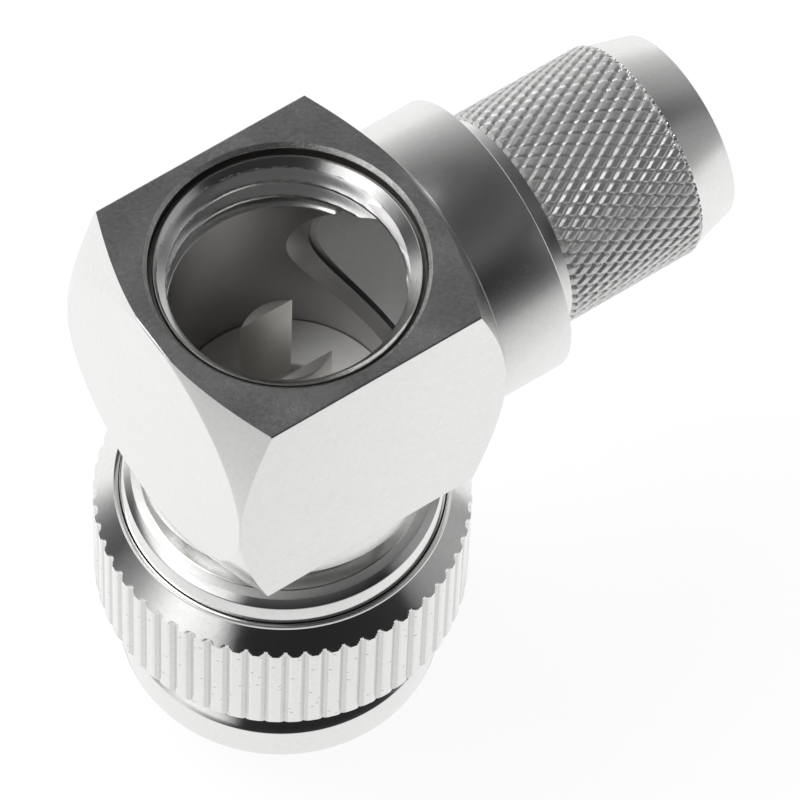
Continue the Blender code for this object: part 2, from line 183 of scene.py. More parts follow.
class NutSettings(bpy.types.PropertyGroup):
    crest_radius: length("Crest radius", "Radius over the ribs", (NUT_BOX[1].y - NUT_BOX[0].y) / 2)
    top: length("Top", "Height of the nut", NUT_BOX[1].z)
    cone_top: length("Cone top", "Height of the cone's upper edge", 10.52)
    land_radius: length("Land radius", "Outer radius of the flat land on top", 6.6)
    rear_bore: length("Rear bore", "Radius of the bore round the shell's flange", 6.4)
    rear_floor: length("Rear floor", "Height of the step under the shell's flange", 8.1)
    ring_bore: length("Ring bore", "Radius of the groove that takes the snap ring", 6.72)
    ring_bottom: length("Ring groove bottom", "Height of the snap ring's groove", 8.84)
    ring_top: length("Ring groove top", "Height of the snap ring's groove at its upper side", 9.76)
    gasket_bore: length("Gasket bore", "Radius of the bore round the gasket", 5.87)
    gasket_floor: length("Gasket floor", "Height at which the bore round the gasket starts", 6.0)
    knurl_top: length("Knurl top", "Height at which the cone meets the ribs", 9.72)
    knurl_bottom: length("Knurl bottom", "Height of the ribs' lower end", 4.5)
    rib_depth: length("Rib depth", "Depth of the V grooves between the ribs", 0.15)
    relief_radius: length("Relief radius", "Radius of the turned groove between ribs and band", 5.97)
    relief_bottom: length("Relief bottom", "Height at which the turned groove's floor starts", 2.23)
    relief_top: length("Relief top", "Height at which the turned groove's floor ends", 3.15)
    band_radius: length("Band radius", "Radius of the smooth band at the mouth", 6.43)
    band_top: length("Band top", "Height of the smooth band", 1.77)
    thread_radius: length("Thread radius", "Middle radius of the 7/16-28 coupling thread", 5.33)
    thread_pitch: length("Thread pitch", "28 threads to the inch", 25.4 / 28)
    thread_depth: length("Thread depth", "Depth of the coupling thread", 0.38)
    thread_top: length("Thread top", "Height of the coupling thread's inner end", 5.6)
    ribs: count("Ribs", "Ribs round the nut", 60)


class ShellSettings(bpy.types.PropertyGroup):
    neck_radius: length("Neck radius", "Radius of the neck pressed into the block", 4.85)
    neck_top: length("Neck top", "Height of the neck's upper end", 14.6)
    face_radius: length("Face radius", "Radius of the polished face on top of the flange", 5.57)
    rim_radius: length("Rim radius", "Radius of the matte band round the polished face", 5.91)
    flange_radius: length("Flange radius", "Radius of the flange inside the nut", 6.37)
    flange_top: length("Flange top", "Height of the flange", 11.79)
    flange_bottom: length("Flange bottom", "Height of the flange's lower side", 8.2)
    slope_bottom: length("Slope bottom", "Height at which the flange's slope meets its side", 10.75)
    groove_radius: length("Groove radius", "Radius at the floor of the snap ring's groove", 5.7)
    groove_bottom: length("Groove bottom", "Height of the snap ring's groove", 8.90)
    groove_top: length("Groove top", "Height of the snap ring's groove at its upper side", 9.70)
    sleeve_radius: length("Sleeve radius", "Outer radius of the contact sleeve", 4.1)
    sleeve_bore: length("Sleeve bore", "Inner radius of the contact sleeve", 3.3)
    sleeve_end: length("Sleeve end", "Height of the contact sleeve's mouth", 1.9)
    dielectric_bore: length("Dielectric bore", "Radius of the bore that takes the insulator", 3.9)
    dielectric_floor: length("Dielectric floor", "Height of the step that the insulator sits on", 7.85)


class SealSettings(bpy.types.PropertyGroup):
    ring_inner: length("Ring inner radius", "Inner radius of the snap ring", 5.75)
    ring_outer: length("Ring outer radius", "Outer radius of the snap ring", 6.6)
    ring_bottom: length("Ring bottom", "Height of the snap ring's lower side", 8.94)
    ring_top: length("Ring top", "Height of the snap ring's upper side", 9.66)
    ring_gap: length("Ring gap", "Width of the split in the snap ring", 2.5)
    gasket_inner: length("Gasket inner radius", "Inner radius of the gasket", 4.14)
    gasket_outer: length("Gasket outer radius", "Outer radius of the gasket", 5.25)
    gasket_bottom: length("Gasket bottom", "Height of the gasket's sealing face", 6.95)
    gasket_top: length("Gasket top", "Height of the gasket's back", 8.17)


class ContactSettings(bpy.types.PropertyGroup):
    insulator_top: length("Insulator top", "Height of the white floor in the opening", 15.3)
    insulator_bottom: length("Insulator bottom", "Height of the insulator's front end", 7.1)
    flange_radius: length("Insulator flange", "Radius of the insulator's flange in the opening", 4.5)
    flange_bottom: length("Flange bottom", "Height of the insulator's flange", 14.64)
    barrel_radius: length("Barrel radius", "Radius of the insulator inside the shell's neck", 3.87)
    barrel_bottom: length("Barrel bottom", "Height of the insulator's step", 7.88)
    front_radius: length("Front radius", "Radius of the insulator inside the contact sleeve", 3.27)
    well_radius: length("Well radius", "Radius of the well round the soldering cup", 2.5)
    well_floor: length("Well floor", "Height of the well's floor", 14.0)
    insulator_bore: length("Insulator bore", "Radius of the bore through the insulator", 1.18)
    pin_end: length("Pin end", "Height of the pin's tip", 2.3)
    pin_radius: length("Pin radius", "Radius of the mating pin", 0.68)
    shank_radius: length("Shank radius", "Radius of the contact inside the insulator", 1.15)
    cup_radius: length("Cup radius", "Radius of the soldering cup", 1.8)
    cup_bottom: length("Cup bottom", "Height of the soldering cup's shoulder", 14.03)
    cup_top: length("Cup top", "Height of the soldering cup", 21.2)
    slot_width: length("Slot width", "Width of the slot that takes the cable's centre conductor", 2.7)
    slot_floor: length("Slot floor", "Height of the slot's floor", 16.1)


class FinishSettings(bpy.types.PropertyGroup):
    nickel: colour("Nickel plate", "White bronze and nickel plate on the brass parts", "#EFEFEE")
    # Darker than the nickel: painted shade between the nut's ribs and on the rim's chamfer round the opening
    groove: colour("Plate in the grooves", "Thinner plate between the nut's ribs", "#DEDEDC")
    # Darker than the nickel: painted shade deep in the block's bores
    bore: colour("Plate in the bores", "Thin dull plate deep in the bores", "#C6C4C4")
    # Much darker than the nickel: painted shade in the narrow groove round the opening
    rim_groove_painted_shade: colour("Plate in the rim's groove", "Scant plate in the groove round the opening", "#8C8A88")
    contact: colour("Contact plate", "Silver plate on the centre contact", "#D2D0CC")
    bronze: colour("Bronze", "Phosphor bronze of the snap ring", "#C99A6B")
    insulator: colour("Insulator", "Turned white fluoropolymer", "#EDECE8")
    gasket: colour("Gasket", "Red silicone rubber", "#9E2B20")


class StudioSettings(bpy.types.PropertyGroup):
    azimuth: rotation("Azimuth", "Camera's turn about the vertical", -36.595)
    elevation: rotation("Elevation", "Camera's height as an angle", 59.106)
    roll: rotation("Roll", "Camera's turn about its own axis", 2.666)
    distance: length("Distance", "From the opening to the camera", 306.95)
    lens: bpy.props.FloatProperty(
        name="Lens", description="Focal length", unit="CAMERA", default=371.0, min=1.0
    )
    floor: colour("Floor", "White paper sweep", "#F2F2F2")
    soft_power: power("Soft box", "Power of the soft box behind the plug", 9.0)
    soft_size: length("Soft box size", "Width of the soft box", 550.0)
    ceiling_power: power("Ceiling lamp", "Power of the lamp that shines into the bores", 2.5)
    ceiling_size: length("Ceiling lamp size", "Width of the ceiling lamp", 580.0)


# Modelling


def sizes(settings):
    """The settings as plain values, with every length in millimetres."""
    values = {}
    for key, prop in settings.bl_rna.properties.items():
        if prop.type in {"FLOAT", "INT"}:
            values[key] = getattr(settings, key) / (MM if prop.unit == "LENGTH" else 1)
    return SimpleNamespace(**values)


def turn(corners, steps, rows=()):
    """A solid spun about Z. Each corner is (radius, height) or (radius, height, edge break).

    The profile ends on the axis or closes on itself. Rows are (low, high, spacing): there the profile is
    divided finely enough to be shaped afterwards.
    """
    bm = bmesh.new()
    verts = [bm.verts.new((corner[0], 0, corner[1])) for corner in corners]
    pairs = list(zip(verts, verts[1:]))
    if corners[0][0] > 0:
        pairs.append((verts[-1], verts[0]))
    for pair in pairs:
        bm.edges.new(pair)
    for width in {corner[2] for corner in corners if len(corner) > 2}:
        broken = [v for v, corner in zip(verts, corners) if corner[2:] == (width,)]
        bmesh.ops.bevel(
            bm, geom=broken, offset=width, offset_type="OFFSET", segments=4, profile=0.5,
            affect="VERTICES", material=-1,
        )
    for low, high, spacing in rows:
        for edge in bm.edges[:]:
            heights = [v.co.z for v in edge.verts]
            cuts = math.ceil(abs(heights[0] - heights[1]) / spacing) - 1
            if low - 1e-4 <= min(heights) and max(heights) <= high + 1e-4 and cuts > 0:
                bmesh.ops.subdivide_edges(bm, edges=[edge], cuts=cuts)
    bmesh.ops.spin(
        bm, geom=bm.verts[:] + bm.edges[:], cent=(0, 0, 0), axis=(0, 0, 1), angle=2 * math.pi,
        steps=steps, use_merge=True, use_duplicate=False,
    )
    bmesh.ops.remove_doubles(bm, verts=bm.verts, dist=1e-5)
    bmesh.ops.recalc_face_normals(bm, faces=bm.faces)
    return bm


def rod(radius, low, high):
    """A plain cylinder about Z, from which bores are cut."""
    return turn([(0, low), (radius, low), (radius, high), (0, high)], 192)


def reshape(bm, radius_at):
    """Moves every point of a turned solid to the radius that radius_at(radius, angle, height) gives."""
    for vert in bm.verts:
        radius = math.hypot(vert.co.x, vert.co.y)
        if radius > 1e-6:
            new = radius_at(radius, math.atan2(vert.co.y, vert.co.x), vert.co.z)
            vert.co.x *= new / radius
            vert.co.y *= new / radius
    bmesh.ops.recalc_face_normals(bm, faces=bm.faces)


def wave(turns):
    """A triangle wave: 0 at whole turns, 1 halfway between them."""
    return 1 - abs(2 * (turns - math.floor(turns)) - 1)


def smooth(value):
    """Rises from 0 to 1 with no corner at either end."""
    value = min(max(value, 0.0), 1.0)
    return value * value * (3 - 2 * value)


def box(low, high):
    """A block between two corners."""
    bm = bmesh.new()
    bmesh.ops.create_cube(bm, size=1.0)
    low, high = Vector(low), Vector(high)
    bmesh.ops.scale(bm, vec=high - low, verts=bm.verts)
    bmesh.ops.translate(bm, vec=(low + high) / 2, verts=bm.verts)
    return bm


def lay_along_x(bm):
    """Takes a piece spun about Z to the cable axis."""
    bmesh.ops.transform(bm, matrix=ALONG_X, verts=bm.verts)
    bmesh.ops.translate(bm, vec=(0, 0, CABLE_Z), verts=bm.verts)
    return bm


def carve(body, tool, operation="DIFFERENCE"):
    """One closed bmesh cut from, joined to or kept within another."""
    pair = []
    for name, bm in (("carved", body), ("carving_tool", tool)):
        mesh = bpy.data.meshes.new(name)
        bm.to_mesh(mesh)
        bm.free()
        obj = bpy.data.objects.new(name, mesh)
        bpy.context.scene.collection.objects.link(obj)
        pair.append(obj)
    modifier = pair[0].modifiers.new(name="Carve", type="BOOLEAN")
    modifier.operation = operation
    modifier.solver = "EXACT"
    modifier.object = pair[1]
    result = bmesh.new()
    result.from_object(pair[0], bpy.context.evaluated_depsgraph_get())
    for obj in pair:
        bpy.data.meshes.remove(obj.data)
    return result


def finish_piece(name, bm, material, body, node_name, others=()):
    """Puts a piece modelled in millimetres in its place, and lets it stand for its CAD node.

    Others are (material, test): a face takes the first of them whose test(centre, normal) it passes.
    """
    for face in bm.faces if others else ():
        centre = face.calc_center_median()
        passed = [index for index, (_, test) in enumerate(others, 1) if test(centre, face.normal)]
        face.material_index = passed[0] if passed else 0
    bmesh.ops.translate(bm, vec=(MATING_X, 0, 0), verts=bm.verts)
    bmesh.ops.scale(bm, vec=(MM, MM, MM), verts=bm.verts)
    mesh = bpy.data.meshes.new(name)
    bm.to_mesh(mesh)
    bm.free()
    for each in (material, *(other for other, _ in others)):
        mesh.materials.append(each)
    mesh.shade_smooth()
    mesh.set_sharp_from_angle(angle=SHARP_ANGLE)
    obj = bpy.data.objects.new(name, mesh)
    bpy.context.scene.collection.objects.link(obj)
    flats = obj.modifiers.new(name="Flat faces stay flat", type="WEIGHTED_NORMAL")
    flats.keep_sharp = True
    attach(obj, body)
    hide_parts(node_name)
    return obj


# Materials

# Size of the clouds in which a plated surface is a little duller or brighter, in mm
CLOUD_MM = 2.5
# Size of the faint patches that a plating bath leaves, in mm
PATCH_MM = 0.2
# Room round each pit in the nut's plate: round the nut and along it, in mm
PIT_CELL_MM = (0.8, 0.3)
# Size of a pit as a share of its room. Real pits are finer, and are drawn as coarse as they need to show
PIT_SIZE = 0.095
# Share of the rooms that stay without a pit
PIT_FREE = 0.62
# Middle and half height of the knurled band that has pits, in mm
PIT_BAND_MM = (7.1, 2.5)
# How far a pit goes below the darkest patch, in steps of the patches' own range
PIT_DARKNESS = 8.0
PIT_DEPTH_MM = 0.004


def node(tree, kind, settings=None, inputs=None):
    """Adds a node. Settings go on the node, and inputs on its sockets: a value, or another node's output."""
    new = tree.nodes.new(kind)
    for key, value in (settings or {}).items():
        setattr(new, key, value)
    for key, value in (inputs or {}).items():
        if isinstance(value, bpy.types.NodeSocket):
            tree.links.new(value, new.inputs[key])
        else:
            new.inputs[key].default_value = value
    return new


def empty_material(name):
    """A material with nodes, and none in it yet."""
    material = bpy.data.materials.new(name)
    material.use_nodes = True
    material.node_tree.nodes.clear()
    return material


def plated_metal(name, base, roughness, spread, grain, lines=None, mottle=0.04, pitted=False):
    """Plate over turned or milled brass, or bare bronze.

    Roughness varies by its spread in soft clouds. Grain is (size, height) in mm, and lines is (axis, spacing,
    height) in mm of the marks that a turning tool left. Mottle is the share by which the patches darken.
    """
    material = empty_material(name)
    tree = material.node_tree
    place = node(tree, "ShaderNodeTexCoord").outputs["Object"]
    size, height = grain
    bumps = node(
        tree, "ShaderNodeTexNoise", {"noise_dimensions": "3D"},
        {"Vector": place, "Scale": 1 / (size * MM), "Detail": 3.0, "Roughness": 0.6},
    ).outputs["Fac"]
    normal = node(
        tree, "ShaderNodeBump", None, {"Height": bumps, "Strength": 1.0, "Distance": height * MM}
    ).outputs["Normal"]
    if lines is not None:
        axis, spacing, height = lines
        along = node(tree, "ShaderNodeSeparateXYZ", None, {"Vector": place}).outputs[axis]
        rings = node(
            tree, "ShaderNodeTexNoise", {"noise_dimensions": "1D"},
            {"W": along, "Scale": 1 / (spacing * MM), "Detail": 3.0, "Roughness": 0.7},
        ).outputs["Fac"]
        normal = node(
            tree, "ShaderNodeBump", None,
            {"Height": rings, "Strength": 1.0, "Distance": height * MM, "Normal": normal},
        ).outputs["Normal"]
    clouds = node(
        tree, "ShaderNodeTexNoise", {"noise_dimensions": "3D"},
        {"Vector": place, "Scale": 1 / (CLOUD_MM * MM), "Detail": 4.0, "Roughness": 0.65},
    ).outputs["Fac"]
    low, high = roughness - spread, roughness + spread
    rough = node(
        tree, "ShaderNodeMapRange", None,
        {"Value": clouds, "From Min": 0.3, "From Max": 0.7, "To Min": low, "To Max": high},
    ).outputs["Result"]
    patches = node(
        tree, "ShaderNodeTexNoise", {"noise_dimensions": "3D"},
        {"Vector": place, "Scale": 1 / (PATCH_MM * MM), "Detail": 2.0, "Roughness": 0.7},
    ).outputs["Fac"]
    shade = node(
        tree, "ShaderNodeMapRange", None, {"Value": patches, "From Min": 0.3, "From Max": 0.7}
    ).outputs["Result"]
    if pitted:
        pits = plating_pits(tree, place)
        shade = node(tree, "ShaderNodeMath", {"operation": "SUBTRACT"}, {0: shade, 1: pits}).outputs["Value"]
        normal = node(
            tree, "ShaderNodeBump", {"invert": True},
            {"Height": pits, "Strength": 1.0, "Distance": PIT_DEPTH_MM * MM, "Normal": normal},
        ).outputs["Normal"]
    darker = (*[(1 - mottle) * c for c in base], 1.0)
    lighter = (*[(1 + mottle / 3) * c for c in base], 1.0)
    tone = node(
        tree, "ShaderNodeMix", {"data_type": "RGBA", "clamp_factor": False}, {0: shade, 6: darker, 7: lighter}
    ).outputs[2]
    shader = node(
        tree, "ShaderNodeBsdfPrincipled", None,
        {"Base Color": tone, "Metallic": 1.0, "Roughness": rough, "Normal": normal},
    )
    node(tree, "ShaderNodeOutputMaterial", None, {"Surface": shader.outputs["BSDF"]})
    return material


def plating_pits(tree, place):
    """Short dark dashes round the nut, where the plate didn't cover the knurled brass, and 0 beside them."""
    centred = node(tree, "ShaderNodeMapping", None, {"Vector": place, "Location": (-MATING_X * MM, 0, 0)})
    along = node(tree, "ShaderNodeSeparateXYZ", None, {"Vector": centred.outputs["Vector"]})
    turned = node(
        tree, "ShaderNodeMath", {"operation": "ARCTAN2"}, {0: along.outputs["Y"], 1: along.outputs["X"]}
    ).outputs["Value"]
    cell_width, cell_height = PIT_CELL_MM
    radius = NUT_BOX[1].y
    arc = node(
        tree, "ShaderNodeMath", {"operation": "MULTIPLY"}, {0: turned, 1: radius / cell_width}
    ).outputs["Value"]
    rise = node(
        tree, "ShaderNodeMath", {"operation": "DIVIDE"}, {0: along.outputs["Z"], 1: cell_height * MM}
    ).outputs["Value"]
    unrolled = node(tree, "ShaderNodeCombineXYZ", None, {"X": arc, "Y": rise}).outputs["Vector"]
    cells = node(
        tree, "ShaderNodeTexVoronoi", {"voronoi_dimensions": "2D"}, {"Vector": unrolled, "Scale": 1.0}
    )
    inside = node(
        tree, "ShaderNodeMath", {"operation": "LESS_THAN"}, {0: cells.outputs["Distance"], 1: PIT_SIZE}
    ).outputs["Value"]
    chosen = node(
        tree, "ShaderNodeMath", {"operation": "GREATER_THAN"}, {0: cells.outputs["Color"], 1: PIT_FREE}
    ).outputs["Value"]
    middle, half_height = PIT_BAND_MM
    on_ribs = node(
        tree, "ShaderNodeMath", {"operation": "COMPARE"},
        {0: along.outputs["Z"], 1: middle * MM, 2: half_height * MM},
    ).outputs["Value"]
    pits = inside
    for factor in (chosen, on_ribs, PIT_DARKNESS):
        pits = node(tree, "ShaderNodeMath", {"operation": "MULTIPLY"}, {0: pits, 1: factor}).outputs["Value"]
    return pits


def dull_polymer(name, base, roughness, grain):
    """A turned or moulded plastic, whose soft sheen is broken by a grain of (size, height) in mm."""
    material = empty_material(name)
    tree = material.node_tree
    place = node(tree, "ShaderNodeTexCoord").outputs["Object"]
    size, height = grain
    bumps = node(
        tree, "ShaderNodeTexNoise", {"noise_dimensions": "3D"},
        {"Vector": place, "Scale": 1 / (size * MM), "Detail": 4.0, "Roughness": 0.6},
    ).outputs["Fac"]
    normal = node(
        tree, "ShaderNodeBump", None, {"Height": bumps, "Strength": 1.0, "Distance": height * MM}
    ).outputs["Normal"]
    low, high = roughness - 0.06, roughness + 0.06
    rough = node(
        tree, "ShaderNodeMapRange", None,
        {"Value": bumps, "From Min": 0.3, "From Max": 0.7, "To Min": low, "To Max": high},
    ).outputs["Result"]
    shader = node(
        tree, "ShaderNodeBsdfPrincipled", None,
        {"Base Color": (*base, 1.0), "Roughness": rough, "Normal": normal},
    )
    node(tree, "ShaderNodeOutputMaterial", None, {"Surface": shader.outputs["BSDF"]})
    return material


# Operators


class CONNECTOR_OT_block(bpy.types.Operator):
    """Add the square block with its turned ends, boss, threaded opening and side bore"""

    bl_idname = "connector.block"
    bl_label = "Block"

    def execute(self, context):
        s = sizes(context.scene.plug_block)
        bm = self.turned_bar(s)
        bm = carve(bm, self.opening(s))
        bm = carve(bm, lay_along_x(rod(s.side_bore_radius, 0, s.front + BEYOND)))
        seat = lay_along_x(rod(s.seat_radius, 0, s.front + BEYOND))
        bm = carve(bm, carve(seat, rod(s.seat_reach, s.boss_bottom, BLOCK_TOP)))
        bm.normal_update()
        # The closed end becomes one face, so that it shades as a flat
        closed_end = [edge for edge in bm.edges if all(face.normal.x < -0.9999 for face in edge.link_faces)]
        bmesh.ops.dissolve_edges(bm, edges=closed_end, use_verts=True)

        def on_top(centre, normal):
            return normal.z > 0.95 and centre.z > BLOCK_TOP - NEAR

        def on_rim(centre, normal):
            from_axis = math.hypot(centre.x, centre.y)
            if centre.z < BLOCK_TOP - s.groove_floor - 0.1:
                return False
            return s.thread_root + 0.04 < from_axis < s.rim_radius + RIM_FLARE

        def in_groove(centre, normal):
            return on_rim(centre, normal) and centre.z < BLOCK_TOP - s.rim_chamfer - 0.03

        def bored(centre, normal):
            from_mating_axis = math.hypot(centre.x, centre.y)
            if from_mating_axis < s.cavity_radius + NEAR and centre.z < BLOCK_TOP - s.ledge_depth:
                return True
            from_cable_axis = math.hypot(centre.y, centre.z - CABLE_Z)
            side_bore = from_cable_axis < s.side_bore_radius + NEAR or centre.x > s.cavity_radius
            return 0 < centre.x < s.front - 0.05 and from_cable_axis < s.seat_radius + 0.07 and side_bore

        finish = context.scene.plug_finish
        # Bright nickel over milled brass: near mirrors, slightly wavy from the cutter
        nickel = plated_metal("milled_nickel_plate", finish.nickel, 0.18, 0.03, (0.22, 0.002))
        # The top is faced last and handled most: a satin with faint scuffs that breaks up what it mirrors
        top = plated_metal("matte_milled_plate", finish.nickel, 0.24, 0.05, (0.14, 0.01), mottle=0.14)
        # Burrs on the rim's chamfer, drawn coarser than the real ones: small glints in a broken line
        # Its plate is the darker groove grey: painted shade on the chamfer
        rim = plated_metal("burred_rim_plate_painted_shade", finish.groove, 0.24, 0.06, (0.06, 0.02), mottle=0.2)
        # A dark ring between chamfer and thread: painted shade in the narrow groove, on a rougher plate
        groove = plated_metal("shaded_groove_plate", finish.rim_groove_painted_shade, 0.38, 0.06, (0.1, 0.006), mottle=0.12)
        # Dull plate deep in the bores, whose darker grey is painted shade: soft greys with no clear
        # reflection
        inside = plated_metal("dull_bore_plate_painted_shade", finish.bore, 0.34, 0.04, (0.3, 0.0012))
        others = ((top, on_top), (groove, in_groove), (rim, on_rim), (inside, bored))
        finish_piece("block_piece", bm, nickel, "plug", "body_block", others)
        return {"FINISHED"}

    @staticmethod
    def turned_bar(s):
        """The square bar with both ends turned to a cone, and the boss under it."""
        half = s.width / 2
        bottom = BLOCK_TOP - s.width
        bm = box((-s.back, -half, bottom), (s.front, half, BLOCK_TOP))
        bmesh.ops.bevel(
            bm, geom=bm.edges[:], offset=s.edge_break, offset_type="OFFSET", segments=3, profile=0.5,
            affect="EDGES", material=-1,
        )
        # The cone runs on to a radius outside the bar's corners
        outer = 9.0
        corner_radius = half * math.sqrt(2)
        depth = s.end_chamfer * (outer - s.end_radius) / (corner_radius - s.end_radius)
        ends = turn(
            [
                (0, -s.back),
                (s.end_radius, -s.back, 0.06),
                (outer, depth - s.back),
                (outer, s.front - depth),
                (s.end_radius, s.front, 0.06),
                (0, s.front),
            ],
            256,
        )
        bm = carve(bm, lay_along_x(ends), "INTERSECT")
        # The boss reaches into the bar, so that the two join as one
        joined = bottom + 0.6
        boss = turn(
            [
                (0, s.boss_bottom),
                (s.boss_radius, s.boss_bottom, 0.08),
                (s.boss_radius, joined),
                (0, joined),
            ],
            256,
        )
        return carve(bm, boss, "UNION")

    @staticmethod
    def opening(s):
        """The opening's turning tool: chamfer, groove, thread, ledge and cavity."""
        start = BLOCK_TOP - s.thread_start
        ledge = BLOCK_TOP - s.ledge_depth
        thread_end = ledge + 0.1
        groove_inner = s.thread_root + 0.05
        groove_outer = s.rim_radius - s.rim_chamfer
        flare = s.rim_radius + RIM_FLARE
        corners = [
            (0, s.boss_bottom - BEYOND),
            (s.neck_radius, s.boss_bottom - BEYOND),
            (s.neck_radius, s.neck_top),
            (s.cavity_radius, s.neck_top),
            (s.cavity_radius, ledge, 0.05),
            (s.thread_root, ledge + 0.15),
            (s.thread_root, start, 0.03),
            (groove_inner, start, 0.02),
            (groove_inner, BLOCK_TOP - s.groove_floor, 0.05),
            (groove_outer, BLOCK_TOP - s.groove_floor, 0.05),
            (groove_outer, BLOCK_TOP - s.rim_chamfer, 0.02),
            (flare, BLOCK_TOP + RIM_FLARE),
            (flare, BLOCK_TOP + BEYOND),
            (0, BLOCK_TOP + BEYOND),
        ]
        bm = turn(corners, 256, [(thread_end, start, 0.022)])

        def threaded(radius, angle, height):
            on_wall = s.thread_crest + 0.1 < radius < s.thread_root + 0.001
            if not on_wall or not thread_end < height < start + 0.001:
                return radius
            depth = BLOCK_TOP - height
            # The first crest is on the +Y side, a quarter of a turn from +X
            turns = (depth - s.first_crest) / s.thread_pitch + angle / (2 * math.pi) - 0.25
            rise = min(max((wave(turns) - 0.14) / 0.62, 0.0), 1.0)
            flank = s.thread_crest + (s.thread_root - s.thread_crest) * (0.8 * rise + 0.2 * smooth(rise))
            lead_in = s.thread_root + 0.02 - (start - height)
            return min(radius, max(flank, lead_in))

        reshape(bm, threaded)
        return bm


class CONNECTOR_OT_stem(bpy.types.Operator):
    """Add the crimp stem with its collar, undercut, diamond knurl and tapered tip"""

    bl_idname = "connector.stem"
    bl_label = "Crimp Stem"

    def execute(self, context):
        s = sizes(context.scene.plug_stem)
        knurl_low = s.knurl_start - s.knurl_ramp
        knurl_high = s.knurl_end + s.knurl_ramp
        stem_end = STEM_BOX[1].x - MATING_X
        # Where the pressed end starts before it is cut round the mating axis
        inner_end = 2.0
        corners = [
            (s.bore_radius, inner_end),
            (s.spigot_radius, inner_end),
            (s.spigot_radius, s.collar_start),
            (s.collar_radius, s.collar_start, 0.12),
            (s.collar_radius, s.collar_end, 0.07),
            (s.land_radius, s.collar_end, 0.16),
            (s.land_radius, knurl_low),
            (s.knurl_radius, s.knurl_start),
            (s.knurl_radius, s.knurl_end),
            (s.land_radius, knurl_high, 0.1),
            (s.tip_radius, stem_end, 0.05),
            (s.bore_radius, stem_end, 0.06),
        ]
        # Twelve points along each diamond, and as many round it
        bm = turn(corners, int(s.starts) * 12, [(knurl_low, knurl_high, s.knurl_pitch / 12)])

        def knurled(radius, angle, height):
            if radius <= s.land_radius + 1e-4 or height < knurl_low:
                return radius
            across = angle * s.starts / (2 * math.pi)
            along = (height - s.knurl_start) / s.knurl_pitch
            deep = s.deep_groove * (1 - smooth(wave(across + along) / 0.58))
            fine = s.fine_groove * (1 - smooth(wave(across - along) / 0.34))
            # Where the two sets cross, the finer one adds less to the depth
            return radius - deep - fine * (1 - 0.4 * deep / s.deep_groove)

        reshape(bm, knurled)
        lay_along_x(bm)
        for vert in bm.verts:
            if vert.co.x < inner_end + NEAR:
                vert.co.x = math.sqrt(s.spigot_reach**2 - vert.co.y**2)
        bm.normal_update()

        def bored(centre, normal):
            from_axis = math.hypot(centre.y, centre.z - CABLE_Z)
            pressed_end = normal.x < -0.3 and centre.x < s.collar_start - 0.3
            return from_axis < s.bore_radius + NEAR or pressed_end

        def on_knurl(centre, normal):
            return knurl_low < centre.x < knurl_high

        finish = context.scene.plug_finish
        # Nickel over fine turning: the highlights drawn out across faint rings
        lines = ("X", 0.06, 0.0006)
        nickel = plated_metal("turned_nickel_plate", finish.nickel, 0.25, 0.03, (0.12, 0.0012), lines)
        # The bore and the cut end are left as the tool left them: grey with no clear reflection
        inside = plated_metal("sawn_bore_plate", finish.nickel, 0.5, 0.05, (0.1, 0.003))
        # Rolled knurl, its surface torn by the wheels: soft glints on the flanks of each diamond
        knurl = plated_metal("knurled_nickel_plate", finish.nickel, 0.48, 0.05, (0.07, 0.004), mottle=0.1)
        others = ((inside, bored), (knurl, on_knurl))
        finish_piece("stem_piece", bm, nickel, "plug", "crimp_stem", others)
        return {"FINISHED"}


